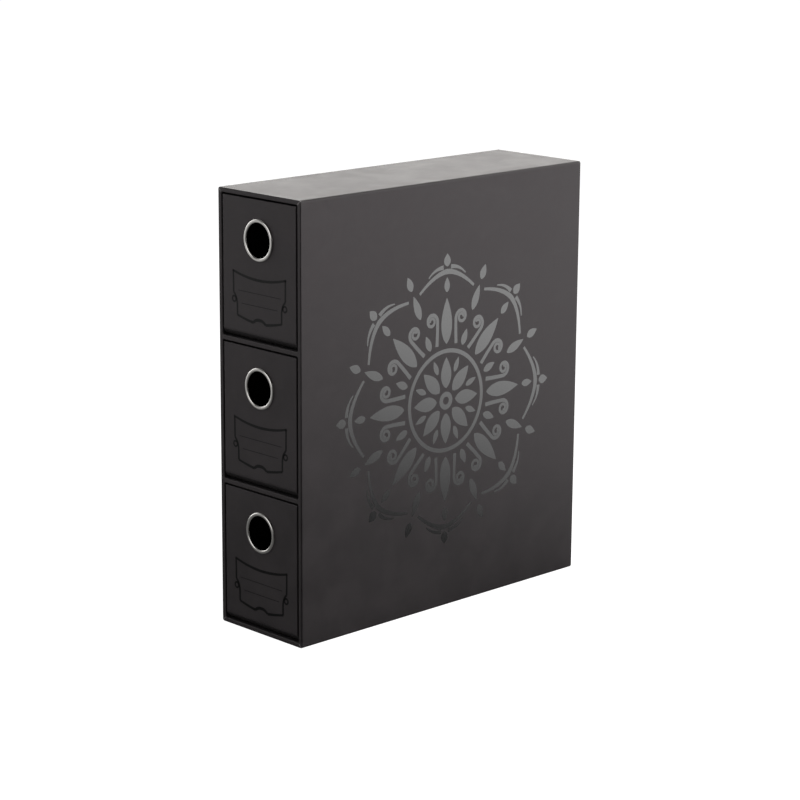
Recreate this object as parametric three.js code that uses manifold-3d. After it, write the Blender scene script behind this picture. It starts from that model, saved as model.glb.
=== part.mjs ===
// Trading card drawer box: a slipcase of paper-wrapped board with card drawers one above the other.
// Millimetres, +Z up. The drawers open towards -Y and the origin is under the middle of the box.

import * as THREE from 'three';
import { mergeVertices } from 'three/addons/utils/BufferGeometryUtils.js';
import Module from 'manifold-3d';

const wasm = await Module();
wasm.setup();

// Slipcase
const caseWidth = 82.5;
const caseDepth = 271;
const caseHeight = 305;
const caseBoard = 3.2; // every panel and divider
const drawerCount = 3;
const caseCorner = 1.6; // round of the four long outer edges
const caseEndRound = 0.7; // round of the wrap over the board ends, front and back
const bayFillet = 1.2; // inside corners of a bay, bridged by the lining paper
const bayLipRound = 0.5; // round of the wrap where it turns into a bay

// Drawer trays
const frontBoard = 2.4;
const wallBoard = 2; // side walls and back wall
const floorBoard = 2;
const frontRecess = 0.1; // drawer front behind the front edges of the case
const sideClearance = 1.3;
const topClearance = 1.2;
const runClearance = 0.3; // under the floor, where the drawer runs on its shelf
const rearClearance = 2;
const frontLowerRound = 6; // rolled lower edge of the front
const rearLowerRound = 1.2;
const trayCorner = 0.6; // upright outer corners
const trayEdgeRound = 0.5; // rim and side edges
const trayFillet = 0.8; // upright inside corners

// Finger rings: a sheet-metal eyelet clinched over a washer behind the front
const ringDiameter = 28.8;
const fingerBore = 23.5;
const ringHeight = 1.3; // crown of the rolled flange above the board
const ringDrop = 27; // centre of the ring below the top of the front
const ringSheet = 0.45;
const clinchBend = 0.75; // outer radius of the bend behind the washer
const clinchDiameter = 27;
const ringHoleClearance = 0.3; // hole in the front round the barrel
const washerSheet = 0.6;
const washerDiameter = 29.6;

// Facets
const cornerSteps = 5;
const edgeSteps = 3;
const ringFacets = 40;
const beadSteps = 8;
const beadInnerSteps = 4;
const bendSteps = 2;
const leastRadius = 0.02; // keeps the points of a sharp corner apart
const overrun = 1; // how far a cutting shape runs past what it cuts

const bayWidth = caseWidth - 2 * caseBoard;
const bayHeight = (caseHeight - (drawerCount + 1) * caseBoard) / drawerCount;
const bayDepth = caseDepth - caseBoard;
const trayWidth = bayWidth - 2 * sideClearance;
const trayHeight = bayHeight - topClearance - runClearance;
const trayLength = bayDepth - frontRecess - rearClearance;

const wrap = new THREE.MeshStandardMaterial({ color: 0x2c2b2c, roughness: 0.8, metalness: 0 });
const lining = new THREE.MeshStandardMaterial({ color: 0x242324, roughness: 0.9, metalness: 0 });
const nickel = new THREE.MeshStandardMaterial({ color: 0xc9c6bf, roughness: 0.25, metalness: 1 });
const steel = new THREE.MeshStandardMaterial({ color: 0x9c9b98, roughness: 0.4, metalness: 1 });

// Floor height of a bay, counted from the top drawer down.
function bayFloor(index) {
  return caseBoard + (drawerCount - 1 - index) * (bayHeight + caseBoard);
}

// Points only, with shared vertices merged, as a closed solid.
function closed(geometry) {
  geometry.deleteAttribute('normal');
  geometry.deleteAttribute('uv');
  return mergeVertices(geometry);
}

function solid(geometry) {
  const merged = closed(geometry);
  return new wasm.Manifold(new wasm.Mesh({
    numProp: 3,
    vertProperties: new Float32Array(merged.attributes.position.array),
    triVerts: new Uint32Array(merged.index.array),
  }));
}

function geometryOf(manifold) {
  const { vertProperties, triVerts } = manifold.getMesh();
  const geometry = new THREE.BufferGeometry();
  geometry.setAttribute('position', new THREE.BufferAttribute(vertProperties, 3));
  geometry.setIndex(new THREE.BufferAttribute(triVerts, 1));
  geometry.computeVertexNormals();
  return geometry;
}

// A rectangle with rounded corners, with the same number of points at any size. Its sides lie
// exactly on the values given.
function roundedOutline({ left, right, bottom, top }, cornerRadius) {
  const radius = Math.max(cornerRadius, leastRadius);
  const corners = [
    { x: right - radius, y: bottom + radius, start: -90 },
    { x: right - radius, y: top - radius, start: 0 },
    { x: left + radius, y: top - radius, start: 90 },
    { x: left + radius, y: bottom + radius, start: 180 },
  ];
  const points = [];
  for (const { x, y, start } of corners) {
    for (let i = 0; i <= cornerSteps; i++) {
      const angle = THREE.MathUtils.degToRad(start + (90 * i) / cornerSteps);
      points.push(new THREE.Vector2(x + radius * Math.cos(angle), y + radius * Math.sin(angle)));
    }
  }
  return points;
}

// A closed solid through convex outlines with matching points, in order along +Z.
function loft(sections) {
  const count = sections[0].outline.length;
  const positions = [];
  for (const { outline, at } of sections) {
    for (const point of outline) positions.push(point.x, point.y, at);
  }
  const index = [];
  for (let s = 0; s + 1 < sections.length; s++) {
    for (let i = 0; i < count; i++) {
      const a = s * count + i;
      const b = s * count + ((i + 1) % count);
      index.push(a, b, b + count, a, b + count, a + count);
    }
  }
  const last = (sections.length - 1) * count;
  for (let i = 1; i + 1 < count; i++) {
    index.push(0, i + 1, i, last, last + i, last + i + 1);
  }
  const geometry = new THREE.BufferGeometry();
  geometry.setAttribute('position', new THREE.Float32BufferAttribute(positions, 3));
  geometry.setIndex(index);
  return geometry;
}

// A bar of rounded-rectangle section that grows or shrinks at each station along +Z.
function roundedBar({ left, right, bottom, top }, corner, stations) {
  return loft(stations.map(({ grow, at }) => {
    const sides = {
      left: left - grow, right: right + grow, bottom: bottom - grow, top: top + grow,
    };
    return { outline: roundedOutline(sides, corner + grow), at };
  }));
}

// A quarter round as steps: how far it still stands off, and how far along it has come.
function quarterRound(radius) {
  const steps = [];
  for (let i = 0; i <= edgeSteps; i++) {
    const angle = ((Math.PI / 2) * i) / edgeSteps;
    steps.push({ off: radius * (1 - Math.sin(angle)), along: radius * (1 - Math.cos(angle)) });
  }
  return steps;
}

// A bar from start to end with both ends rounded over.
function roundEndedBar(sides, corner, start, end, round) {
  const steps = quarterRound(round);
  const opening = steps.map(({ off, along }) => ({ grow: -off, at: start + along }));
  const closing = steps.map(({ off, along }) => ({ grow: -off, at: end - along }));
  return roundedBar(sides, corner, [...opening, ...closing.reverse()]);
}

// The space inside a box that is open at the mouth, where its walls round outwards.
function mouthPlug(sides, corner, start, mouth, round) {
  const flare = quarterRound(round).map(({ off, along }) => ({ grow: off, at: mouth - along }));
  return roundedBar(sides, corner, [
    { grow: 0, at: start },
    ...flare.reverse(),
    { grow: round, at: mouth + overrun },
  ]);
}

// A plain block between two corners, whose faces lie exactly on the given values.
function block(low, high) {
  const geometry = new THREE.BoxGeometry(1, 1, 1);
  const position = geometry.attributes.position;
  for (let i = 0; i < position.count; i++) {
    position.setXYZ(
      i,
      position.getX(i) < 0 ? low[0] : high[0],
      position.getY(i) < 0 ? low[1] : high[1],
      position.getZ(i) < 0 ? low[2] : high[2],
    );
  }
  return solid(geometry);
}

function named(name, geometry, material) {
  const mesh = new THREE.Mesh(geometry, material);
  mesh.name = name;
  return mesh;
}

// The whole case in one piece, front edge at y = 0: the panels are cut from it, so that the
// wrap's rounds run on over their joints.
function caseShell() {
  const outside = { left: -caseWidth / 2, right: caseWidth / 2, bottom: 0, top: caseHeight };
  const outer = roundEndedBar(outside, caseCorner, -caseDepth, 0, caseEndRound);
  let shell = solid(outer.rotateX(Math.PI / 2));
  for (let i = 0; i < drawerCount; i++) {
    const floor = bayFloor(i);
    const inside = {
      left: -bayWidth / 2, right: bayWidth / 2, bottom: floor, top: floor + bayHeight,
    };
    const bay = mouthPlug(inside, bayFillet, -bayDepth, 0, bayLipRound);
    shell = shell.subtract(solid(bay.rotateX(Math.PI / 2)));
  }
  return shell;
}

function buildCase() {
  const shell = caseShell();
  const half = caseWidth / 2;
  const inner = bayWidth / 2;
  const back = caseDepth + overrun;
  const roof = caseHeight + overrun;
  const decks = (low, high) => block([-inner, -overrun, low], [inner, bayDepth, high]);
  const pieces = {
    left_side_panel: block([-half - overrun, -overrun, -overrun], [-inner, back, roof]),
    right_side_panel: block([inner, -overrun, -overrun], [half + overrun, back, roof]),
    back_panel: block([-inner, bayDepth, -overrun], [inner, back, roof]),
    bottom_panel: decks(-overrun, caseBoard + bayFillet),
    top_panel: decks(caseHeight - caseBoard - bayFillet, roof),
  };
  for (let i = 1; i < drawerCount; i++) {
    const top = bayFloor(i - 1);
    pieces[`divider_${i}`] = decks(top - caseBoard - bayFillet, top + bayFillet);
  }
  const group = new THREE.Group();
  for (const [name, region] of Object.entries(pieces)) {
    group.add(named(name, geometryOf(shell.intersect(region)), wrap));
  }
  return group;
}

// What is cut away below a rolled lower edge, as a strip along x: the edge lies at y = 0 and z = 0,
// and the board lies towards +y.
function lowerEdgeCut(radius) {
  const shape = new THREE.Shape();
  shape.moveTo(-overrun, -overrun);
  shape.lineTo(radius, -overrun);
  shape.lineTo(radius, 0);
  shape.absarc(radius, radius, radius, Math.PI * 1.5, Math.PI, true);
  shape.lineTo(-overrun, radius);
  const strip = new THREE.ExtrudeGeometry(shape, {
    depth: trayWidth + 2 * overrun,
    curveSegments: 3 * cornerSteps,
    bevelEnabled: false,
  });
  strip.translate(0, 0, -trayWidth / 2 - overrun);
  strip.applyMatrix4(new THREE.Matrix4().makeBasis(
    new THREE.Vector3(0, 1, 0),
    new THREE.Vector3(0, 0, 1),
    new THREE.Vector3(1, 0, 0),
  ));
  return strip;
}

// One tray in one piece: front face at y = 0, underside at z = 0, centred on x.
function trayShell() {
  const half = trayWidth / 2;
  const outside = { left: -half, right: half, bottom: 0, top: trayLength };
  const inside = {
    left: -half + wallBoard,
    right: half - wallBoard,
    bottom: frontBoard,
    top: trayLength - wallBoard,
  };
  const rearCut = lowerEdgeCut(rearLowerRound).rotateZ(Math.PI).translate(0, trayLength, 0);
  return solid(roundEndedBar(outside, trayCorner, 0, trayHeight, trayEdgeRound))
    .subtract(solid(mouthPlug(inside, trayFillet, floorBoard, trayHeight, trayEdgeRound)))
    .subtract(solid(lowerEdgeCut(frontLowerRound)))
    .subtract(solid(rearCut));
}

function ringHole() {
  const radius = fingerBore / 2 + ringSheet + ringHoleClearance;
  const hole = new THREE.CylinderGeometry(radius, radius, 4 * frontBoard, ringFacets);
  hole.translate(0, 0, trayHeight - ringDrop);
  return solid(hole);
}

function trayPieces() {
  const shell = trayShell();
  const side = trayWidth / 2 + overrun;
  const backFace = trayLength - wallBoard;
  const rim = trayHeight + overrun;
  const frontRegion = block([-side, -overrun, -overrun], [side, frontBoard, rim]);
  const backRegion = block([-side, backFace, -overrun], [side, trayLength + overrun, rim]);
  const floorRegion = block([-side, frontBoard, -overrun], [side, backFace, floorBoard]);
  const walls = shell.subtract(frontRegion).subtract(backRegion).subtract(floorRegion);
  return {
    front: shell.intersect(frontRegion).subtract(ringHole()),
    floor: shell.intersect(floorRegion),
    left_wall: walls.intersect(block([-side, 0, 0], [0, trayLength, rim])),
    right_wall: walls.intersect(block([0, 0, 0], [side, trayLength, rim])),
    back_wall: shell.intersect(backRegion),
  };
}

// Points of an elliptical arc in the ring's section: radius out from the axis, height above the board.
function sectionArc(centre, height, across, up, startDeg, endDeg, steps) {
  const points = [];
  for (let i = 0; i <= steps; i++) {
    const angle = THREE.MathUtils.degToRad(startDeg + ((endDeg - startDeg) * i) / steps);
    points.push(new THREE.Vector2(
      centre + across * Math.cos(angle), height + up * Math.sin(angle)));
  }
  return points;
}

// The eyelet: flange rolled over the board, barrel through it, and end clinched over the washer.
function fingerRing() {
  const outer = ringDiameter / 2;
  const bore = fingerBore / 2;
  const crown = (outer + bore) / 2;
  const halfBead = (outer - bore) / 2;
  const rear = -(frontBoard + washerSheet + ringSheet);
  const bendCentre = bore + clinchBend;
  const innerBend = clinchBend - ringSheet;
  const section = [
    ...sectionArc(crown, 0, halfBead, ringHeight, 0, 180, beadSteps),
    ...sectionArc(bendCentre, rear + clinchBend, clinchBend, clinchBend, 180, 270, bendSteps),
    new THREE.Vector2(clinchDiameter / 2, rear),
    new THREE.Vector2(clinchDiameter / 2, rear + ringSheet),
    ...sectionArc(bendCentre, rear + clinchBend, innerBend, innerBend, 270, 180, bendSteps),
    ...sectionArc(crown, 0, halfBead - ringSheet, ringHeight - ringSheet, 180, 0, beadInnerSteps),
    new THREE.Vector2(outer, 0),
  ];
  return closed(new THREE.LatheGeometry(section, ringFacets));
}

function ringWasher() {
  const outer = washerDiameter / 2;
  const inner = fingerBore / 2 + clinchBend;
  const front = -frontBoard;
  const rear = front - washerSheet;
  const section = [
    new THREE.Vector2(inner, front),
    new THREE.Vector2(inner, rear),
    new THREE.Vector2(outer, rear),
    new THREE.Vector2(outer, front),
    new THREE.Vector2(inner, front),
  ];
  return closed(new THREE.LatheGeometry(section, ringFacets));
}

function buildDrawers() {
  const boards = trayPieces();
  const ring = fingerRing();
  const washer = ringWasher();
  const drawers = new THREE.Group();
  for (let i = 0; i < drawerCount; i++) {
    const name = `drawer_${i + 1}`;
    const drawer = new THREE.Group();
    for (const [part, manifold] of Object.entries(boards)) {
      const material = part === 'front' ? wrap : lining;
      drawer.add(named(`${name}_${part}`, geometryOf(manifold), material));
    }
    const fittings = new THREE.Group();
    fittings.add(named(`${name}_finger_ring`, ring, nickel));
    fittings.add(named(`${name}_ring_washer`, washer, steel));
    fittings.rotation.x = Math.PI;
    fittings.position.z = trayHeight - ringDrop;
    drawer.add(fittings);
    drawer.position.set(0, frontRecess, bayFloor(i) + runClearance);
    drawers.add(drawer);
  }
  return drawers;
}

const standOut = Math.max(0, ringHeight - frontRecess);
const cardDrawerBox = new THREE.Group();
cardDrawerBox.add(buildCase(), buildDrawers());
cardDrawerBox.position.y = (standOut - caseDepth) / 2;

export default cardDrawerBox;
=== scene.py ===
# Looks of the trading card drawer box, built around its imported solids.
# Metres, +Z up, drawers towards -Y. Sizes in the dictionaries are in millimetres unless noted.

from math import cos, pi, radians, sin

import bmesh
import bpy
from mathutils import Matrix, Vector


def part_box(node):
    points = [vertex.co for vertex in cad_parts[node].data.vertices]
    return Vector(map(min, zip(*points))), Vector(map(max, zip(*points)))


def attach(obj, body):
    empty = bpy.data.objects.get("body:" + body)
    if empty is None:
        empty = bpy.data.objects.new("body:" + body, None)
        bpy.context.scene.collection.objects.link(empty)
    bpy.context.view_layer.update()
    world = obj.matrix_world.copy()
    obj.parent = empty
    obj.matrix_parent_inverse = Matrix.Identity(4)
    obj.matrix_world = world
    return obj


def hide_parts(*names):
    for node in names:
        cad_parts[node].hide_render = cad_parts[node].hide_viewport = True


mm = 0.001
weld = 1e-7  # metres, points nearer than this are merged

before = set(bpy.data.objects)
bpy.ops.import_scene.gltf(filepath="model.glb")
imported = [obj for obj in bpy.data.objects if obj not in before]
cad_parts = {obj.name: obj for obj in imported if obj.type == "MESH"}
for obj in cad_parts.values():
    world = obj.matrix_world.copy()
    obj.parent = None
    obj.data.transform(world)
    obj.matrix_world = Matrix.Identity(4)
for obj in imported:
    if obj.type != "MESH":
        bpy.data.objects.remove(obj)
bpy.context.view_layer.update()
drawers = [1, 2, 3]
print("frame loaded:", len(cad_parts), "nodes")


# Camera

view = {
    "place": (1.22177, -1.19447, 0.55823),  # metres
    "turn": 45.739,  # degrees round Z, away from looking along +Y
    "tilt": 13.654,  # degrees down
    "roll": 0.373,
    "lens": 111.62,
    "sensor": 36,
}


def makeCamera():
    data = bpy.data.cameras.new("camera")
    data.lens = view["lens"]
    data.sensor_width = view["sensor"]
    camera = bpy.data.objects.new("camera", data)
    bpy.context.scene.collection.objects.link(camera)
    turn = Matrix.Rotation(radians(view["turn"]), 4, "Z")
    tilt = Matrix.Rotation(radians(90 - view["tilt"]), 4, "X")
    roll = Matrix.Rotation(radians(view["roll"]), 4, "Z")
    camera.matrix_world = Matrix.Translation(view["place"]) @ turn @ tilt @ roll
    bpy.context.scene.camera = camera
    bpy.context.scene.view_settings.view_transform = "Standard"


makeCamera()
print("camera placed")


# Node helpers

def addNode(tree, kind, inputs=None, **settings):
    node = tree.nodes.new(kind)
    for name, value in settings.items():
        setattr(node, name, value)
    for name, value in (inputs or {}).items():
        if isinstance(value, bpy.types.NodeSocket):
            tree.links.new(value, node.inputs[name])
        else:
            node.inputs[name].default_value = value
    return node


def calc(tree, operation, *values, clamp=False):
    inputs = dict(enumerate(values))
    return addNode(tree, "ShaderNodeMath", inputs, operation=operation, use_clamp=clamp).outputs[0]


def vectorCalc(tree, operation, *values):
    inputs = dict(enumerate(values))
    return addNode(tree, "ShaderNodeVectorMath", inputs, operation=operation).outputs["Vector"]


def remap(tree, value, low, high, toLow=0.0, toHigh=1.0, smooth=False):
    inputs = {"Value": value, "From Min": low, "From Max": high, "To Min": toLow, "To Max": toHigh}
    kind = "SMOOTHSTEP" if smooth else "LINEAR"
    return addNode(tree, "ShaderNodeMapRange", inputs, interpolation_type=kind).outputs["Result"]


def noise(tree, vector, scale, detail=2.0, roughness=0.5, distortion=0.0):
    inputs = {"Vector": vector, "Scale": scale, "Detail": detail, "Roughness": roughness,
              "Distortion": distortion}
    return addNode(tree, "ShaderNodeTexNoise", inputs).outputs["Fac"]


def mixValues(tree, first, second, shares, clamp=False):
    parts = (calc(tree, "MULTIPLY", first, shares[0]), calc(tree, "MULTIPLY", second, shares[1]))
    return calc(tree, "ADD", *parts, clamp=clamp)


def blend(tree, factor, first, second):
    node = addNode(tree, "ShaderNodeMix", data_type="RGBA")
    for socket, value in ((node.inputs[0], factor), (node.inputs[6], first), (node.inputs[7], second)):
        if isinstance(value, bpy.types.NodeSocket):
            tree.links.new(value, socket)
        else:
            socket.default_value = value
    return node.outputs[2]


def separate(tree, vector):
    return addNode(tree, "ShaderNodeSeparateXYZ", {"Vector": vector}).outputs


def grey(value, warmth=0.0):
    return (value * (1 + warmth), value, value * (1 + warmth * 0.3), 1.0)


def newGroup(name, inputs, outputs):
    group = bpy.data.node_groups.new(name, "ShaderNodeTree")
    for label, kind, value in inputs:
        socket = group.interface.new_socket(name=label, in_out="INPUT", socket_type=kind)
        if value is not None:
            socket.default_value = value
    for label in outputs:
        group.interface.new_socket(name=label, in_out="OUTPUT", socket_type="NodeSocketFloat")
    return group, group.nodes.new("NodeGroupInput").outputs, group.nodes.new("NodeGroupOutput").inputs


def useGroup(tree, group, inputs):
    node = tree.nodes.new("ShaderNodeGroup")
    node.node_tree = group
    for name, value in inputs.items():
        if isinstance(value, bpy.types.NodeSocket):
            tree.links.new(value, node.inputs[name])
        else:
            node.inputs[name].default_value = value
    return node.outputs


# Shared effects

paperPattern = {
    "broad": (6.0, 0.55, 0.9),  # detail, roughness and distortion of the large clouds
    "patch": (4.0, 0.6, 0.4),
    "patchScale": 2.9,  # times the scale of the clouds
    "mix": (0.68, 0.32),  # large clouds and patches
    "cloudRange": (0.36, 0.64),
    "grain": (3.0, 0.6),
    "fibre": (1.0, 0.5),
    "fibreStretch": ((0.9, 0.12, 0.5), (0.5, 0.9, 0.12), (0.12, 0.5, 0.9)),
    "fibreRange": (0.45, 0.75),
    "streak": (5.0, 0.7, 1.6),
    "streakStretch": (1.0, 0.25, 1.0),
    "streakScale": 95.0,
    "streakRange": (0.55, 0.78),
}


def paperGroup():
    # Smoky clouds of the printed wrap, the fine grain and fibres of the paper, and rubbed streaks.
    look = paperPattern
    group, given, out = newGroup("paperGrain", [
        ("Vector", "NodeSocketVector", None),
        ("Cloud Scale", "NodeSocketFloat", 24.0),
        ("Grain Scale", "NodeSocketFloat", 1800.0),
        ("Fibre Share", "NodeSocketFloat", 0.4),
    ], ["Cloud", "Grain", "Height", "Rub"])
    point, fine = given["Vector"], given["Grain Scale"]
    broad = noise(group, point, given["Cloud Scale"], *look["broad"])
    patchScale = calc(group, "MULTIPLY", given["Cloud Scale"], look["patchScale"])
    patch = noise(group, point, patchScale, *look["patch"])
    mixed = mixValues(group, broad, patch, look["mix"])
    group.links.new(remap(group, mixed, *look["cloudRange"], smooth=True), out["Cloud"])
    grain = noise(group, point, fine, *look["grain"])
    group.links.new(grain, out["Grain"])
    crossed = 0.0
    for stretch in look["fibreStretch"]:
        strand = noise(group, vectorCalc(group, "MULTIPLY", point, stretch), fine, *look["fibre"])
        crossed = calc(group, "MAXIMUM", strand, crossed)
    fibre = remap(group, crossed, *look["fibreRange"])
    lifted = calc(group, "MULTIPLY", fibre, given["Fibre Share"])
    rest = calc(group, "MULTIPLY", grain, calc(group, "SUBTRACT", 1.0, given["Fibre Share"]))
    group.links.new(calc(group, "ADD", lifted, rest), out["Height"])
    streaked = vectorCalc(group, "MULTIPLY", point, look["streakStretch"])
    streaks = noise(group, streaked, look["streakScale"], *look["streak"])
    group.links.new(remap(group, streaks, *look["streakRange"]), out["Rub"])
    return group


edgePattern = {
    "cornerReach": 4.0,  # times the width of the folded edge
    "lipFade": 1.8,  # the painted recess shade is full this many lips in
    "foldCore": 0.4,  # the rubbed fold is full within this many lips
    "foldEnd": 0.9,  # and ends this share of a board's thickness from the corner
}


def edgeGroup():
    # Masks from the distance to the faces of a box: the rounded edges, the corners, the inside, what
    # lies behind the front face, and the mitred folds at the corners of the front.
    group, given, out = newGroup("boardEdges", [
        ("Vector", "NodeSocketVector", None),
        ("Low", "NodeSocketVector", None),
        ("High", "NodeSocketVector", None),
        ("Width", "NodeSocketFloat", 0.0013),
        ("Lip", "NodeSocketFloat", 0.0006),
        ("Board", "NodeSocketFloat", 0.0032),
    ], ["Edge", "Corner", "Inside", "Behind", "Mitre"])
    lip, board = given["Lip"], given["Board"]
    fromLow = vectorCalc(group, "SUBTRACT", given["Vector"], given["Low"])
    fromHigh = vectorCalc(group, "SUBTRACT", given["High"], given["Vector"])
    x, y, z = separate(group, vectorCalc(group, "MINIMUM", fromLow, fromHigh))
    near = calc(group, "MINIMUM", x, y)
    far = calc(group, "MAXIMUM", x, y)
    least = calc(group, "MINIMUM", near, z)
    middle = calc(group, "MAXIMUM", near, calc(group, "MINIMUM", far, z))
    most = calc(group, "MAXIMUM", far, z)
    group.links.new(remap(group, middle, 0.0, given["Width"], 1.0, 0.0, smooth=True), out["Edge"])
    reach = calc(group, "MULTIPLY", given["Width"], edgePattern["cornerReach"])
    group.links.new(remap(group, most, 0.0, reach, 1.0, 0.0, smooth=True), out["Corner"])
    lipEnd = calc(group, "MULTIPLY", lip, edgePattern["lipFade"])
    group.links.new(remap(group, least, lip, lipEnd), out["Inside"])
    behind = remap(group, separate(group, fromLow)[1], lip, lipEnd)
    group.links.new(behind, out["Behind"])
    offFold = calc(group, "ABSOLUTE", calc(group, "SUBTRACT", x, z))
    onFold = remap(group, offFold, lip, calc(group, "MULTIPLY", lip, edgePattern["foldCore"]))
    foldEnd = calc(group, "MULTIPLY", board, edgePattern["foldEnd"])
    nearCorner = remap(group, calc(group, "MAXIMUM", x, z), board, foldEnd)
    onFront = calc(group, "SUBTRACT", 1.0, behind)
    fold = calc(group, "MULTIPLY", calc(group, "MULTIPLY", onFold, nearCorner), onFront)
    group.links.new(fold, out["Mitre"])
    return group


turnedPattern = {
    "lines": (2.0, 0.6),
    "turn": 0.0006,  # metres a radian, so that the lines run nearly all the way round
    "patches": (4.0, 0.6, 0.3),
    "patchRange": (0.35, 0.7),
}


def turnedGroup():
    # Fine polishing lines round an axis along Y, and cloudy patches in the polish.
    group, given, out = newGroup("turnedLines", [
        ("Vector", "NodeSocketVector", None),
        ("Line Scale", "NodeSocketFloat", 9000.0),
        ("Patch Scale", "NodeSocketFloat", 160.0),
    ], ["Lines", "Patches"])
    x, y, z = separate(group, given["Vector"])
    squares = calc(group, "ADD", calc(group, "MULTIPLY", x, x), calc(group, "MULTIPLY", z, z))
    turn = calc(group, "MULTIPLY", calc(group, "ARCTAN2", x, z), turnedPattern["turn"])
    flat = addNode(group, "ShaderNodeCombineXYZ", {"X": calc(group, "SQRT", squares), "Y": y, "Z": turn})
    lines = noise(group, flat.outputs[0], given["Line Scale"], *turnedPattern["lines"])
    group.links.new(lines, out["Lines"])
    patches = noise(group, given["Vector"], given["Patch Scale"], *turnedPattern["patches"])
    group.links.new(remap(group, patches, *turnedPattern["patchRange"]), out["Patches"])
    return group


paperGrain = paperGroup()
boardEdges = edgeGroup()
turnedLines = turnedGroup()
print("shared effects built")


# Materials

def newMaterial(name):
    material = bpy.data.materials.new(name)
    material.use_nodes = True
    tree = material.node_tree
    tree.nodes.clear()
    shader = tree.nodes.new("ShaderNodeBsdfPrincipled")
    output = tree.nodes.new("ShaderNodeOutputMaterial")
    tree.links.new(shader.outputs[0], output.inputs["Surface"])
    point = tree.nodes.new("ShaderNodeTexCoord").outputs["Object"]
    return material, tree, shader.inputs, point


def addBump(tree, surface, height, look):
    inputs = {"Height": height, "Strength": look["bump"], "Distance": look["bumpHeight"]}
    tree.links.new(addNode(tree, "ShaderNodeBump", inputs).outputs[0], surface["Normal"])


def usePaper(tree, point, look):
    return useGroup(tree, paperGrain, {
        "Vector": point, "Cloud Scale": look["cloudScale"], "Grain Scale": look["grainScale"],
        "Fibre Share": look["fibreShare"],
    })


# In the looks below, bumpHeight is in metres, and a range is where a mask of the pattern starts and ends.

wrapLook = {
    "dark": grey(0.0170, 0.10),
    "light": grey(0.0265, 0.12),
    # edge is painted shade: a near-black line along the folded edges
    "edge": grey(0.0030),
    "worn": grey(0.060, 0.04),
    "inner": grey(0.0060, 0.02),  # painted shade inside the bays and on the turn-ins, and behind the drawer fronts
    "sheen": (1.0, 0.90, 0.93, 1.0),
    "cloudScale": 24.0,
    "grainScale": 1800.0,
    "fibreShare": 0.35,
    "speck": 0.25,
    "speckRange": (0.3, 0.7),
    "rim": 0.85,  # share of the edge colour on the folded edges
    "scuff": 0.55,  # wear at the corners
    "scuffRange": (0.45, 0.62),
    "rub": 0.22,  # wear along the edges
    "rubRange": (0.35, 0.9),
    "fold": grey(0.30, 0.04),  # core of the paper, where its mitred folds are rubbed through
    "foldRange": (0.40, 0.56),
    "roughness": (0.525, 0.58),
    "handled": 0.05,  # rubbed streaks are this much smoother
    "burnish": 0.27,  # and the folded edges this much
    "shadedRough": 0.22,  # the painted-shade areas are this much rougher
    "bump": 0.6,
    "bumpHeight": 0.000012,
}

# Width of the painted dark edges (painted shade on the folded edges) and depth at which the painted shade
# of the recesses starts, both in metres, the mask that this painted shade follows, and whether the mitred
# folds are worn.
caseEdges = {"edgeWidth": 0.0017, "lip": 0.0006, "shadeMask": "Inside", "folded": True}
frontEdges = {"edgeWidth": 0.0007, "lip": 0.0002, "shadeMask": "Behind", "folded": False}


def wrapPaper(name, low, high, look):
    material, tree, surface, point = newMaterial(name)
    shadeMask = look["shadeMask"]
    paper = usePaper(tree, point, wrapLook)
    edges = useGroup(tree, boardEdges, {
        "Vector": point, "Low": low, "High": high, "Width": look["edgeWidth"], "Lip": look["lip"],
    })
    cloudy = blend(tree, paper["Cloud"], wrapLook["dark"], wrapLook["light"])
    speck = remap(tree, paper["Grain"], *wrapLook["speckRange"], 0.0, wrapLook["speck"])
    speckled = blend(tree, speck, cloudy, wrapLook["light"])
    # Painted shade: the folded edges darken towards the edge colour.
    rim = calc(tree, "MULTIPLY", edges["Edge"], wrapLook["rim"])
    paintedEdgeShade = blend(tree, rim, speckled, wrapLook["edge"])
    scuff = remap(tree, paper["Grain"], *wrapLook["scuffRange"], 0.0, wrapLook["scuff"])
    rub = remap(tree, paper["Rub"], *wrapLook["rubRange"], 0.0, wrapLook["rub"])
    wear = calc(tree, "MAXIMUM", calc(tree, "MULTIPLY", edges["Corner"], scuff),
                calc(tree, "MULTIPLY", edges["Edge"], rub))
    worn = blend(tree, wear, paintedEdgeShade, wrapLook["worn"])
    if look["folded"]:
        rubbedThrough = remap(tree, paper["Grain"], *wrapLook["foldRange"])
        flecks = calc(tree, "MULTIPLY", edges["Mitre"], rubbedThrough)
        worn = blend(tree, flecks, worn, wrapLook["fold"])
    # Painted shade: inside the bays, and on a drawer front's faces behind its front face, the colour
    # darkens to the inner colour.
    tree.links.new(blend(tree, edges[shadeMask], worn, wrapLook["inner"]), surface["Base Color"])
    smooth, rough = wrapLook["roughness"]
    base = remap(tree, paper["Cloud"], 0.0, 1.0, smooth, rough)
    handled = calc(tree, "SUBTRACT", base, calc(tree, "MULTIPLY", paper["Rub"], wrapLook["handled"]))
    folded = calc(tree, "SUBTRACT", handled, calc(tree, "MULTIPLY", edges["Edge"], wrapLook["burnish"]))
    inside = calc(tree, "MULTIPLY", edges[shadeMask], wrapLook["shadedRough"])
    tree.links.new(calc(tree, "ADD", folded, inside, clamp=True), surface["Roughness"])
    surface["Specular Tint"].default_value = wrapLook["sheen"]
    addBump(tree, surface, paper["Height"], wrapLook)
    return material


liningLook = {
    "dark": grey(0.0110, 0.03),
    "light": grey(0.0200, 0.04),
    "worn": grey(0.050, 0.03),
    "cloudScale": 60.0,
    "grainScale": 1300.0,
    "fibreShare": 0.7,
    "mix": (0.5, 0.6),  # clouds and fibres in the colour
    "edgeWidth": 0.0011,  # metres
    "rub": (0.05, 0.4),
    "rubRange": (0.1, 0.9),
    "roughness": (0.66, 0.84),
    "roughRange": (0.2, 0.8),
    "specular": 0.35,
    "bump": 0.7,
    "bumpHeight": 0.000022,
}


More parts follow.
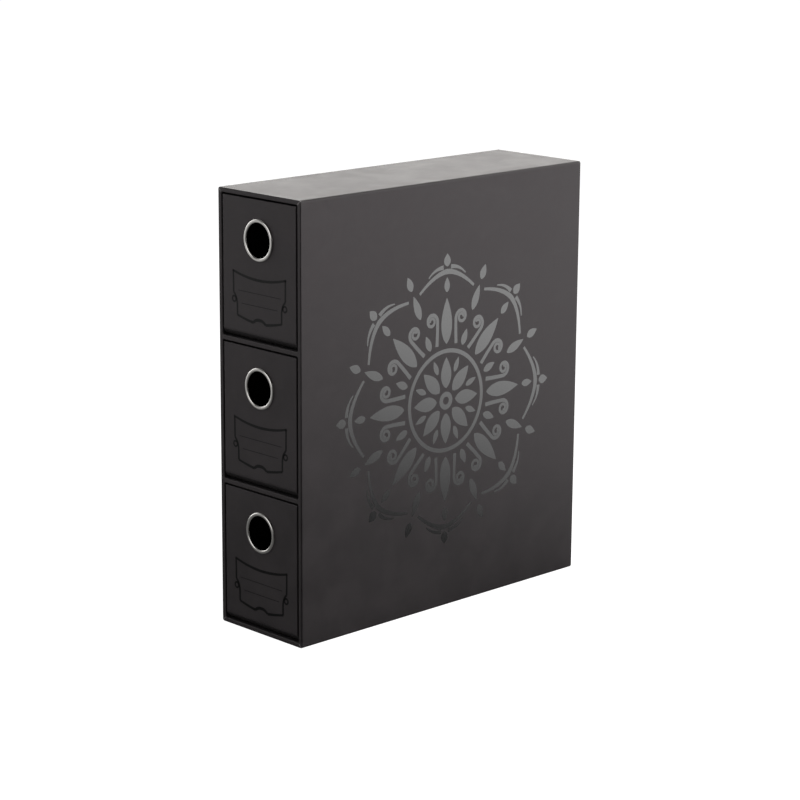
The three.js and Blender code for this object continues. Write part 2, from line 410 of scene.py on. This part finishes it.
def liningPaper(name, low, high):
    material, tree, surface, point = newMaterial(name)
    look = liningLook
    paper = usePaper(tree, point, look)
    edges = useGroup(tree, boardEdges, {
        "Vector": point, "Low": low, "High": high, "Width": look["edgeWidth"],
    })
    mottled = mixValues(tree, paper["Cloud"], paper["Height"], look["mix"], clamp=True)
    plain = blend(tree, mottled, look["dark"], look["light"])
    rub = remap(tree, paper["Rub"], *look["rubRange"], *look["rub"])
    rubbed = calc(tree, "MULTIPLY", edges["Edge"], rub)
    tree.links.new(blend(tree, rubbed, plain, look["worn"]), surface["Base Color"])
    rough = remap(tree, paper["Height"], *look["roughRange"], *look["roughness"])
    tree.links.new(rough, surface["Roughness"])
    addBump(tree, surface, paper["Height"], look)
    surface["Specular IOR Level"].default_value = look["specular"]
    return material


metalLook = {
    "nickel": {"dark": (0.70, 0.68, 0.65, 1), "light": (0.86, 0.84, 0.81, 1), "roughness": (0.07, 0.13)},
    "steel": {"dark": (0.40, 0.40, 0.39, 1), "light": (0.58, 0.58, 0.56, 1), "roughness": (0.30, 0.46)},
}

metalFinish = {
    "mix": (0.5, 0.5),  # polishing lines and patches
    "roughRange": (0.2, 0.8),
    "bump": 0.25,
    "bumpHeight": 0.000003,
}


def turnedMetal(name, look, centre):
    material, tree, surface, point = newMaterial(name)
    centred = vectorCalc(tree, "SUBTRACT", point, centre)
    turned = useGroup(tree, turnedLines, {"Vector": centred})
    shade = mixValues(tree, turned["Lines"], turned["Patches"], metalFinish["mix"])
    tree.links.new(blend(tree, shade, look["dark"], look["light"]), surface["Base Color"])
    smooth, rough = look["roughness"]
    polish = remap(tree, shade, *metalFinish["roughRange"], rough, smooth)
    tree.links.new(polish, surface["Roughness"])
    surface["Metallic"].default_value = 1.0
    addBump(tree, surface, turned["Lines"], metalFinish)
    return material


glossLook = {
    "side": {"dark": grey(0.006, 0.05), "light": grey(0.010, 0.05), "roughness": (0.18, 0.26), "ior": 1.96},
    "label": {"dark": grey(0.0012), "light": grey(0.0028), "roughness": (0.28, 0.38), "ior": 1.30},
}

inkFinish = {
    "cloudScale": 70.0,
    "grainScale": 700.0,
    "fibreShare": 0.1,
    "roughRange": (0.3, 0.7),
    "bump": 0.3,  # varnish levels out the paper's grain
    "bumpHeight": 0.000003,
}


def glossInk(name, look):
    material, tree, surface, point = newMaterial(name)
    paper = usePaper(tree, point, inkFinish)
    tree.links.new(blend(tree, paper["Cloud"], look["dark"], look["light"]), surface["Base Color"])
    rough = remap(tree, paper["Grain"], *inkFinish["roughRange"], *look["roughness"])
    tree.links.new(rough, surface["Roughness"])
    surface["IOR"].default_value = look["ior"]
    addBump(tree, surface, paper["Height"], inkFinish)
    return material


def joinedBox(names):
    boxes = [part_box(name) for name in names]
    low = [min(box[0][axis] for box in boxes) for axis in range(3)]
    high = [max(box[1][axis] for box in boxes) for axis in range(3)]
    return low, high


def paint(name, material):
    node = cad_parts[name]
    node.data.materials.clear()
    node.data.materials.append(material)


casePanels = [
    "left_side_panel", "right_side_panel", "top_panel", "bottom_panel", "back_panel",
    "divider_1", "divider_2",
]
caseWrap = wrapPaper("caseWrap", *joinedBox(casePanels), caseEdges)
for panel in casePanels:
    paint(panel, caseWrap)

trayBoards = ["front", "floor", "left_wall", "right_wall", "back_wall"]
for number in drawers:
    drawer = f"drawer_{number}"
    low, high = joinedBox([f"{drawer}_{board}" for board in trayBoards])
    lining = liningPaper(f"trayLining{number}", low, high)
    paint(f"{drawer}_front", wrapPaper(f"frontWrap{number}", low, high, frontEdges))
    for board in trayBoards[1:]:
        paint(f"{drawer}_{board}", lining)
    ringLow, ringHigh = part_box(f"{drawer}_finger_ring")
    steel = turnedMetal(f"washerSteel{number}", metalLook["steel"], (ringLow + ringHigh) / 2)
    paint(f"{drawer}_ring_washer", steel)
sideGloss = glossInk("sideGloss", glossLook["side"])
labelGloss = glossInk("labelGloss", glossLook["label"])
# Painted shade: the box given here lies far outside the turn-ins, so all of this paper takes the darker
# inner colour.
shadedTurnInWrap = wrapPaper("shadedTurnInWrap", (-1, -1, -1), (1, 1, 1), caseEdges)
print("materials assigned")


# New pieces

def addPiece(name, shape, material, body):
    mesh = bpy.data.meshes.new(name)
    shape.to_mesh(mesh)
    shape.free()
    mesh.materials.append(material)
    piece = bpy.data.objects.new(name, mesh)
    bpy.context.scene.collection.objects.link(piece)
    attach(piece, body)
    return piece


fingerRing = {
    "bore": 23.5,
    "height": 1.3,  # crown of the rolled flange above the board
    "sheet": 0.45,
    "board": 2.4,
    "washer": 0.6,
    "bend": 0.75,  # outer radius behind the washer
    "clinch": 27.0,  # diameter of the clinched end
    "segments": 128,
    "shoulder": 0.80,  # 1 is a plain ellipse, less is fuller at its shoulders
    "beadSteps": 32,
    "bendSteps": 8,
    "crease": 50,  # degrees, edges sharper than this stay sharp
}


def arcPoints(centre, height, across, up, start, end, steps):
    points = []
    for i in range(steps + 1):
        angle = radians(start + (end - start) * i / steps)
        points.append((centre + across * cos(angle), height + up * sin(angle)))
    return points


def circlePoints(centre, height, radius, count):
    return arcPoints(centre, height, radius, radius, 0, 360 - 360 / count, count - 1)


def beadPoints(centre, across, up, start, end, steps):
    # An arch with full shoulders, as a rolled flange has.
    full = fingerRing["shoulder"]
    points = []
    for i in range(steps + 1):
        angle = radians(start + (end - start) * i / steps)
        side = -1 if cos(angle) < 0 else 1
        points.append((centre + side * across * abs(cos(angle)) ** full, up * abs(sin(angle)) ** full))
    return points


def ringSection(outer):
    # Radius and height above the board, round the section of the sheet, in millimetres.
    bore = fingerRing["bore"] / 2
    sheet = fingerRing["sheet"]
    bend = fingerRing["bend"]
    rear = -(fingerRing["board"] + fingerRing["washer"] + sheet)
    crown = (outer + bore) / 2
    halfBead = (outer - bore) / 2
    height = fingerRing["height"]
    bead = fingerRing["beadSteps"]
    turn = fingerRing["bendSteps"]
    clinch = fingerRing["clinch"] / 2
    return [
        *beadPoints(crown, halfBead, height, 0, 180, bead),
        *arcPoints(bore + bend, rear + bend, bend, bend, 180, 270, turn),
        (clinch, rear),
        (clinch, rear + sheet),
        *arcPoints(bore + bend, rear + bend, bend - sheet, bend - sheet, 270, 180, turn),
        *beadPoints(crown, halfBead - sheet, height - sheet, 180, 0, bead),
    ]


def makeRing(number):
    node = f"drawer_{number}_finger_ring"
    low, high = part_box(node)
    centre = (low + high) / 2
    outer = (high.x - low.x) / 2 / mm
    board = low.y + fingerRing["height"] * mm  # front face of the drawer
    shape = bmesh.new()
    section = [shape.verts.new((r * mm, -h * mm, 0)) for r, h in ringSection(outer)]
    outline = [shape.edges.new(pair) for pair in zip(section, section[1:] + section[:1])]
    bmesh.ops.spin(shape, geom=section + outline, cent=(0, 0, 0), axis=(0, 1, 0), angle=2 * pi,
                   steps=fingerRing["segments"], use_merge=True)
    bmesh.ops.remove_doubles(shape, verts=shape.verts[:], dist=weld)
    bmesh.ops.recalc_face_normals(shape, faces=shape.faces[:])
    bmesh.ops.translate(shape, verts=shape.verts[:], vec=(0, board, centre.z))
    for face in shape.faces:
        face.smooth = True
    for edge in shape.edges:
        edge.smooth = edge.calc_face_angle(0) < radians(fingerRing["crease"])
    nickel = turnedMetal(f"ringNickel{number}", metalLook["nickel"], centre)
    ring = addPiece(f"finger_ring_{number}", shape, nickel, f"drawer_{number}")
    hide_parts(node)


for number in drawers:
    makeRing(number)
print("finger rings spun")


# Printed pieces are drawn as strokes on a curve, swept with a thin flat section and made a mesh.

def startStrokes():
    curve = bpy.data.curves.new("strokes", "CURVE")
    curve.dimensions = "2D"
    curve.fill_mode = "NONE"
    return curve


def addStroke(curve, points, widths, closed=False):
    spline = curve.splines.new("POLY")
    spline.points.add(len(points) - 1)
    for point, (across, up), width in zip(spline.points, points, widths):
        point.co = (across * mm, up * mm, 0, 1)
        point.radius = width * mm / 2
    spline.use_cyclic_u = closed


def strokesToShape(curve, thickness):
    section = bpy.data.curves.new("section", "CURVE")
    section.dimensions = "2D"
    corners = ((-1, -1), (1, -1), (1, 1), (-1, 1))
    spline = section.splines.new("POLY")
    spline.points.add(len(corners) - 1)
    for point, (across, up) in zip(spline.points, corners):
        point.co = (across, up, 0, 1)
    spline.use_cyclic_u = True
    sectionObject = bpy.data.objects.new("section", section)
    curve.bevel_mode = "OBJECT"
    curve.bevel_object = sectionObject
    curve.use_fill_caps = True
    holder = bpy.data.objects.new("strokes", curve)
    bpy.context.scene.collection.objects.link(sectionObject)
    bpy.context.scene.collection.objects.link(holder)
    swept = bpy.data.meshes.new_from_object(holder.evaluated_get(bpy.context.evaluated_depsgraph_get()))
    shape = bmesh.new()
    shape.from_mesh(swept)
    for vert in shape.verts:
        vert.co.z = thickness * mm if vert.co.z > 0 else 0.0
    bmesh.ops.remove_doubles(shape, verts=shape.verts[:], dist=weld)
    bmesh.ops.recalc_face_normals(shape, faces=shape.faces[:])
    for face in shape.faces:
        face.smooth = False
    bpy.data.objects.remove(holder)
    bpy.data.objects.remove(sectionObject)
    bpy.data.meshes.remove(swept)
    return shape


def layOn(shape, place, across, up, out):
    # Lays a flat shape, drawn in X and Y, on a face: its axes become across, up and out.
    axes = Matrix((across, up, out)).transposed().to_4x4()
    shape.transform(Matrix.Translation(place) @ axes)


def evenWidths(count, width):
    return [width] * count


def taperWidths(count, start, end):
    return [start + (end - start) * i / (count - 1) for i in range(count)]


leafForm = {
    "skew": 0.8,  # under 1 puts the widest place nearer the start
    "fullness": 0.85,  # under 1 is fuller than a sine
    "least": 0.25,
}


def leafWidths(count, width):
    # Widest at two fifths of the length, drawn to a point at both ends.
    widths = []
    for i in range(count):
        along = (i / (count - 1)) ** leafForm["skew"]
        widths.append(max(leafForm["least"], width * sin(pi * along) ** leafForm["fullness"]))
    return widths


def bowPoints(start, pull, end, count):
    points = []
    for i in range(count):
        t = i / (count - 1)
        a, b, c = (1 - t) ** 2, 2 * t * (1 - t), t * t
        points.append(tuple(a * s + b * p + c * e for s, p, e in zip(start, pull, end)))
    return points


def curlPoints(centre, radius, inner, start, sweep, count):
    pace = 0.75  # under 1 winds in faster at first
    points = []
    for i in range(count):
        t = i / (count - 1)
        angle = radians(start + sweep * t)
        reach = radius + (inner - radius) * t ** pace
        points.append((centre[0] + reach * cos(angle), centre[1] + reach * sin(angle)))
    return points


def turnPoints(points, angle):
    c, s = cos(radians(angle)), sin(radians(angle))
    return [(across * c + up * s, up * c - across * s) for across, up in points]


def flipPoints(points):
    return [(-across, up) for across, up in points]


# Label frame on each drawer: a bookplate outline with two lines to write on.

labelFrame = {
    "cornerDown": 50.2,  # below the top of the drawer front
    "halfWidth": 26.2,
    "ear": 0.7,  # the upper line runs this far past the side lines
    "sag": 3.8,
    "neckDown": 65.0,  # where the side line bends inwards past its ring
    "neckIn": 0.2,
    "bendRise": 1.5,
    "ringDown": 69.6,
    "ringAcross": 25.5,
    "ringRadius": 1.9,  # to the middle of the line
    "stepDown": 74.0,
    "stepAcross": 22.3,
    "lowerDown": 80.2,
    "footDown": 83.2,
    "footAcross": 6.3,
    "slopeRise": 1.0,
    "crownDown": 80.9,
    "crownPull": (3.0, 0.4),
    "line": 1.5,
    "ringLine": 1.25,
    "heavyLine": 1.9,
    "crownLine": 2.3,
    "lines": ((63.2, 21.5), (71.7, 18.0)),  # height down and half length of each writing line
    "writingLine": 0.42,
    "thickness": 0.03,
    "upperCount": 25,  # points in each line
    "bendCount": 11,
    "footCount": 9,
    "ringCount": 24,
}


def drawLabel(curve):
    look = labelFrame
    thin, heavy = look["line"], look["heavyLine"]
    half, top = look["halfWidth"], -look["cornerDown"]
    tip = (half + look["ear"], top)
    upper = bowPoints((-tip[0], top), (0, top - 2 * look["sag"]), tip, look["upperCount"])
    last = len(upper) - 1
    addStroke(curve, upper, [thin + (heavy - thin) * sin(pi * i / last) for i in range(len(upper))])
    neck = (half - look["neckIn"], -look["neckDown"])
    step = (look["stepAcross"], -look["stepDown"])
    corner = (look["stepAcross"], -look["lowerDown"])
    foot = (look["footAcross"], -look["footDown"])
    peak = (0, -look["crownDown"])
    side = [(half, top), neck]
    bend = bowPoints(neck, (step[0], -look["ringDown"] + look["bendRise"]), step, look["bendCount"])
    bend.append(corner)
    slopePull = ((corner[0] + foot[0]) / 2, foot[1] + look["slopeRise"])
    slope = bowPoints(corner, slopePull, foot, look["footCount"])
    inwards, upwards = look["crownPull"]
    crown = bowPoints(foot, (foot[0] - inwards, peak[1] + upwards), peak, look["footCount"])
    ring = circlePoints(look["ringAcross"], -look["ringDown"], look["ringRadius"], look["ringCount"])
    strokes = [
        (side, evenWidths(len(side), thin), False),
        (bend, evenWidths(len(bend), thin), False),
        (slope, taperWidths(len(slope), thin, heavy), False),
        (crown, taperWidths(len(crown), heavy, look["crownLine"]), False),
        (ring, evenWidths(len(ring), look["ringLine"]), True),
    ]
    for points, widths, closed in strokes:
        addStroke(curve, points, widths, closed)
        addStroke(curve, flipPoints(points), widths, closed)
    for down, reach in look["lines"]:
        addStroke(curve, [(-reach, -down), (reach, -down)], evenWidths(2, look["writingLine"]))


def makeLabel(number):
    low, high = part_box(f"drawer_{number}_front")
    curve = startStrokes()
    drawLabel(curve)
    shape = strokesToShape(curve, labelFrame["thickness"])
    layOn(shape, (0, low.y, high.z), (1, 0, 0), (0, 0, 1), (0, -1, 0))
    addPiece(f"label_frame_{number}", shape, labelGloss, f"drawer_{number}")


for number in drawers:
    makeLabel(number)
print("label frames printed")


# Spot gloss medallion on the right side panel: rings of leaves and curls round a rosette.

medallion = {
    "height": 150.0,  # centre above the floor
    "sectors": 8,
    "thickness": 0.04,
    "hub": (4.6, 3.6),  # radius and width of the line
    "band": (35.5, 3.0),
    "petal": (9.0, 31.0, 10.2),  # inner radius, outer radius, width
    "sepal": (21.0, 32.0, 4.4),
    "leaf": (40.5, 73.0, 10.6),
    "bud": (40.5, 52.5, 5.6),  # between two leaves
    "outerBud": (66.0, 84.5, 6.4),
    "stem": ((9.4, 39.6), (8.8, 50.0), (9.0, 58.0)),
    "scroll": (14.6, 58.0, 5.6, 1.5),  # across, up, and the first and last radius
    "scrollTurn": (180, -560),  # degrees, start and sweep
    "scrollLine": (3.0, 1.8),
    "archFoot": (18.6, 83.0),  # degrees off the middle of the sector, and radius
    "archPeak": 91.5,
    "archPull": (0.45, 0.6),  # share of the way out, and distance below the peak
    "archLine": (2.0, 3.8),
    "underArch": (77.0, 87.5, 5.4),
    "finial": (95.0, 104.0, 6.6),
    "tendril": ((3.6, 94.6), (12.0, 94.6), (18.0, 88.6)),
    "tendrilLine": (3.2, 0.9),
    "drop": (88.5, 99.5, 6.0),
    "leafCount": 21,  # points in each line
    "ringCount": 120,
    "bowCount": 13,
    "curlCount": 46,
    "archCount": 15,
}


def drawLeaf(curve, size, angle):
    inner, outer, width = size
    count = medallion["leafCount"]
    points = [(0, inner + (outer - inner) * i / (count - 1)) for i in range(count)]
    addStroke(curve, turnPoints(points, angle), leafWidths(count, width))


def drawRing(curve, size):
    radius, width = size
    points = circlePoints(0, 0, radius, medallion["ringCount"])
    addStroke(curve, points, evenWidths(len(points), width), closed=True)


def drawBothSides(curve, points, widths, angle):
    addStroke(curve, turnPoints(points, angle), widths)
    addStroke(curve, turnPoints(flipPoints(points), angle), widths)


def drawScroll(curve, angle):
    # A stem that rises beside the leaf and rolls up away from it.
    across, up, first, last = medallion["scroll"]
    stem = bowPoints(*medallion["stem"], medallion["bowCount"])
    curl = curlPoints((across, up), first, last, *medallion["scrollTurn"], medallion["curlCount"])
    points = stem[:-1] + curl
    drawBothSides(curve, points, taperWidths(len(points), *medallion["scrollLine"]), angle)


def drawArch(curve, angle):
    # A pointed arch over the sector, in one stroke from foot to foot.
    off, radius = medallion["archFoot"]
    foot = (radius * sin(radians(off)), radius * cos(radians(off)))
    peak = (0, medallion["archPeak"])
    share, below = medallion["archPull"]
    half = bowPoints(foot, (foot[0] * share, peak[1] - below), peak, medallion["archCount"])
    points = half + flipPoints(half[-2::-1])
    widths = taperWidths(len(half), *medallion["archLine"])
    addStroke(curve, turnPoints(points, angle), widths + widths[-2::-1])


def drawMedallion(curve):
    look = medallion
    sector = 360 / look["sectors"]
    drawRing(curve, look["hub"])
    drawRing(curve, look["band"])
    for i in range(look["sectors"]):
        angle = i * sector
        between = angle + sector / 2
        for part in ("petal", "leaf", "underArch", "finial"):
            drawLeaf(curve, look[part], angle)
        for part in ("sepal", "bud", "outerBud", "drop"):
            drawLeaf(curve, look[part], between)
        drawScroll(curve, angle)
        drawArch(curve, angle)
        tendril = bowPoints(*look["tendril"], look["bowCount"])
        drawBothSides(curve, tendril, taperWidths(len(tendril), *look["tendrilLine"]), angle)


def makeMedallion():
    low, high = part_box("right_side_panel")
    curve = startStrokes()
    drawMedallion(curve)
    shape = strokesToShape(curve, medallion["thickness"])
    middle = (low.y + high.y) / 2
    layOn(shape, (high.x, middle, medallion["height"] * mm), (0, 1, 0), (0, 0, 1), (1, 0, 0))
    addPiece("side_medallion", shape, sideGloss, "case")


makeMedallion()
print("medallion printed")


# Paper turned in over the edges, and the cover sheet on the back.

paperWork = {
    "sheet": 0.13,
    "inset": 0.01,  # clear of the wall that a sleeve is glued to
    "sleeveSteps": 4,  # segments of each rounded corner
    "backSteps": 3,
    "bayTurnIn": 18.0,
    "bayLip": 0.5,  # round of the bay's mouth
    "bayCorner": 1.2,
    "trayTurnIn": 15.0,
    "trayLip": 0.5,
    "trayCorner": 0.8,
    "backMargin": 2.6,
    "backCorner": 1.0,
}


def makeSleeve(name, low, high, axis, corner, material, body):
    # A thin paper sleeve lining the walls of an opening, open at both ends along the axis.
    sheet = paperWork["sheet"] * mm
    shape = bmesh.new()
    bmesh.ops.create_cube(shape, size=1.0)
    size = Vector(high) - Vector(low)
    bmesh.ops.scale(shape, verts=shape.verts[:], vec=size)
    bmesh.ops.translate(shape, verts=shape.verts[:], vec=(Vector(high) + Vector(low)) / 2)
    ends = [face for face in shape.faces if abs(face.normal[axis]) > 0.5]
    bmesh.ops.delete(shape, geom=ends, context="FACES_ONLY")
    long = [edge for edge in shape.edges
            if abs((edge.verts[0].co - edge.verts[1].co).normalized()[axis]) > 0.5]
    bmesh.ops.bevel(shape, geom=long, offset=corner * mm, affect="EDGES",
                    segments=paperWork["sleeveSteps"], profile=0.5, material=-1)
    bmesh.ops.recalc_face_normals(shape, faces=shape.faces[:])
    bmesh.ops.solidify(shape, geom=shape.faces[:], thickness=sheet)
    bmesh.ops.recalc_face_normals(shape, faces=shape.faces[:])
    addPiece(name, shape, material, body)


def makeTurnIns():
    inset = paperWork["inset"] * mm
    left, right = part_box("left_side_panel"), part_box("right_side_panel")
    roofs = ["top_panel", "divider_1", "divider_2"]
    floors = ["divider_1", "divider_2", "bottom_panel"]
    fillet = paperWork["bayCorner"] * mm
    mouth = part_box("top_panel")[0].y + paperWork["bayLip"] * mm
    depth = paperWork["bayTurnIn"] * mm
    for number, roof, floor in zip(drawers, roofs, floors):
        low = (left[1].x + inset, mouth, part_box(floor)[1].z - fillet + inset)
        high = (right[0].x - inset, mouth + depth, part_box(roof)[0].z + fillet - inset)
        makeSleeve(f"bay_turn_in_{number}", low, high, 1, paperWork["bayCorner"], shadedTurnInWrap, "case")
        drawer = f"drawer_{number}"
        front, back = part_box(f"{drawer}_front"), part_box(f"{drawer}_back_wall")
        leftWall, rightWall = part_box(f"{drawer}_left_wall"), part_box(f"{drawer}_right_wall")
        rim = front[1].z - paperWork["trayLip"] * mm
        low = (leftWall[1].x, front[1].y, rim - paperWork["trayTurnIn"] * mm)
        high = (rightWall[0].x, back[0].y, rim)
        makeSleeve(f"tray_turn_in_{number}", low, high, 2, paperWork["trayCorner"], shadedTurnInWrap, drawer)


def makeBackSheet():
    low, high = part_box("back_panel")
    margin = paperWork["backMargin"] * mm
    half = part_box("right_side_panel")[1].x - margin
    tall = (high.z - low.z) / 2 - margin
    shape = bmesh.new()
    bmesh.ops.create_grid(shape, x_segments=1, y_segments=1, size=1.0)
    bmesh.ops.scale(shape, verts=shape.verts[:], vec=(half, tall, 1))
    bmesh.ops.bevel(shape, geom=shape.verts[:], offset=paperWork["backCorner"] * mm, affect="VERTICES",
                    segments=paperWork["backSteps"], profile=0.5, material=-1)
    grown = bmesh.ops.extrude_face_region(shape, geom=shape.faces[:])
    lifted = [item for item in grown["geom"] if isinstance(item, bmesh.types.BMVert)]
    bmesh.ops.translate(shape, verts=lifted, vec=(0, 0, paperWork["sheet"] * mm))
    bmesh.ops.recalc_face_normals(shape, faces=shape.faces[:])
    layOn(shape, (0, high.y, (low.z + high.z) / 2), (-1, 0, 0), (0, 0, 1), (0, 1, 0))
    addPiece("back_cover_sheet", shape, caseWrap, "case")


makeTurnIns()
makeBackSheet()
print("paper turn-ins and back sheet laid")


# Floor, world and lamps

# The floor and the room are dim and uneven where a glossy surface mirrors them, as a studio's are.
# A mirrored floor's numbers are its start and end in metres, and its brightness.

stage = {
    "floorSize": 30.0,  # metres
    "floorRoughness": 0.9,
    "floorColour": grey(0.30),
    "floorWhite": 0.93,  # added to what the camera sees, so that the floor is white
    "nearFloor": (-0.14, 0.15, 0.05),  # beside the box, along +Y
    "backFloor": (0.12, 0.67, 1.82),  # further along +Y
    "frontFloor": (0.00, 1.10, 0.42),  # to the left in the picture
    "rightFloor": (0.00, 0.30),  # along +X the left part darkens again
    "farFloor": (0.10, 0.60, 1.05),  # away from the camera
    "darkFloor": 0.03,
    "darkSide": (0.45, -0.893),  # direction, in X and Y, of the dark side of the room
    "leastReach": 0.05,  # keeps the division finite overhead
    "room": ((-1.0, 4.15), (-0.30, 2.40), (-0.05, 0.50), (0.75, 0.06), (1.0, 0.05)),  # from the bright side
    "warmRange": (-0.95, -0.35),  # the bright side is a little warm
    "warm": (0.988, 0.955),  # its green and blue
    "ceiling": (0.33, 0.65),  # upward part of the direction, where the room darkens
    "ceilingDark": 0.15,
    "window": (-0.16, -0.95, 0.26),  # direction of a bright panel in front, seen in the metal
    "windowReach": (0.88, 0.96),  # cosine of the angle off its middle
    "windowBright": 1.2,
    "fill": 0.32,  # even light on matt surfaces
}

# Places and sizes in metres, powers in watts.
lamps = {
    "topLamp": {"place": (-0.25, 0.75, 1.50), "size": (1.4, 1.0), "power": 14.0},
    "sideLamp": {"place": (0.95, -0.25, 0.95), "size": (0.8, 0.7), "power": 12.0},
    "frontLamp": {"place": (-0.70, -1.70, 1.20), "size": (0.9, 0.7), "power": 3.5},
}
lampAim = (0, 0, 0.2)


def lightPath(tree):
    rays = tree.nodes.new("ShaderNodeLightPath").outputs
    mirrored = calc(tree, "MAXIMUM", rays["Is Glossy Ray"], rays["Is Transmission Ray"])
    return rays["Is Camera Ray"], mirrored


def makeFloor():
    shape = bmesh.new()
    bmesh.ops.create_grid(shape, x_segments=1, y_segments=1, size=stage["floorSize"] / 2)
    mesh = bpy.data.meshes.new("floor")
    shape.to_mesh(mesh)
    shape.free()
    floor = bpy.data.objects.new("floor", mesh)
    bpy.context.scene.collection.objects.link(floor)
    material, tree, surface, point = newMaterial("paleFloor")
    surface["Roughness"].default_value = stage["floorRoughness"]
    surface["Specular IOR Level"].default_value = 0.0
    seen, mirrored = lightPath(tree)
    tree.links.new(blend(tree, mirrored, stage["floorColour"], grey(0.0)), surface["Base Color"])
    x, y, z = separate(tree, point)
    diagonal = 0.707  # sine and cosine of 45 degrees
    toLeft = calc(tree, "MULTIPLY", calc(tree, "ADD", x, y), -diagonal)
    away = calc(tree, "MULTIPLY", calc(tree, "SUBTRACT", y, x), diagonal)
    start, end, nearBright = stage["nearFloor"]
    near = remap(tree, y, start, end, 0.0, nearBright, smooth=True)
    start, end, bright = stage["backFloor"]
    back = calc(tree, "ADD", near, remap(tree, y, start, end, 0.0, bright))
    start, end, bright = stage["frontFloor"]
    front = remap(tree, toLeft, start, end, nearBright, bright, smooth=True)
    lit = calc(tree, "MULTIPLY", front, remap(tree, x, *stage["rightFloor"], 1.0, 0.0, smooth=True))
    start, end, bright = stage["farFloor"]
    far = remap(tree, away, start, end, 0.0, bright, smooth=True)
    brightest = calc(tree, "MAXIMUM", calc(tree, "MAXIMUM", back, lit), far)
    shade = calc(tree, "ADD", brightest, stage["darkFloor"])
    strength = calc(tree, "ADD", calc(tree, "MULTIPLY", seen, stage["floorWhite"]),
                    calc(tree, "MULTIPLY", mirrored, shade))
    surface["Emission Color"].default_value = (1, 1, 1, 1)
    tree.links.new(strength, surface["Emission Strength"])
    mesh.materials.append(material)


def makeWorld():
    world = bpy.data.worlds.new("studio")
    bpy.context.scene.world = world
    world.use_nodes = True
    tree = world.node_tree
    tree.nodes.clear()
    direction = tree.nodes.new("ShaderNodeTexCoord").outputs["Generated"]
    x, y, z = separate(tree, direction)
    reach = calc(tree, "SQRT", calc(tree, "SUBTRACT", 1.0, calc(tree, "MULTIPLY", z, z), clamp=True))
    darkX, darkY = stage["darkSide"]
    toDark = calc(tree, "ADD", calc(tree, "MULTIPLY", x, darkX), calc(tree, "MULTIPLY", y, darkY))
    side = calc(tree, "DIVIDE", toDark, calc(tree, "MAXIMUM", reach, stage["leastReach"]))
    brightness = stage["room"][0][1]
    for (start, first), (end, last) in zip(stage["room"], stage["room"][1:]):
        step = remap(tree, side, start, end, 0.0, last - first, smooth=True)
        brightness = calc(tree, "ADD", step, brightness)
    dim = remap(tree, z, *stage["ceiling"], 1.0, stage["ceilingDark"], smooth=True)
    seen, mirrored = lightPath(tree)
    facing = addNode(tree, "ShaderNodeVectorMath", {0: direction, 1: stage["window"]},
                     operation="DOT_PRODUCT").outputs["Value"]
    panel = remap(tree, facing, *stage["windowReach"], 0.0, stage["windowBright"], smooth=True)
    reflected = calc(tree, "ADD", calc(tree, "MULTIPLY", brightness, dim), panel)
    green, blue = [calc(tree, "MULTIPLY", reflected, remap(tree, side, *stage["warmRange"], least, 1.0))
                   for least in stage["warm"]]
    room = addNode(tree, "ShaderNodeCombineColor", {"Red": reflected, "Green": green, "Blue": blue})
    indoors = blend(tree, mirrored, grey(stage["fill"]), room.outputs["Color"])
    white = (1, 1, 1, 1)
    background = addNode(tree, "ShaderNodeBackground",
                         {"Color": blend(tree, seen, indoors, white), "Strength": 1.0})
    output = tree.nodes.new("ShaderNodeOutputWorld")
    tree.links.new(background.outputs[0], output.inputs["Surface"])


def makeLamp(name, look):
    data = bpy.data.lights.new(name, "AREA")
    data.shape = "RECTANGLE"
    data.size, data.size_y = look["size"]
    data.energy = look["power"]
    lamp = bpy.data.objects.new(name, data)
    bpy.context.scene.collection.objects.link(lamp)
    lamp.location = look["place"]
    lamp.rotation_mode = "QUATERNION"
    lamp.rotation_quaternion = (Vector(lampAim) - Vector(look["place"])).to_track_quat("-Z", "Y")
    lamp.visible_camera = False
    lamp.visible_glossy = False


makeFloor()
makeWorld()
for name, look in lamps.items():
    makeLamp(name, look)
print("stage lit")
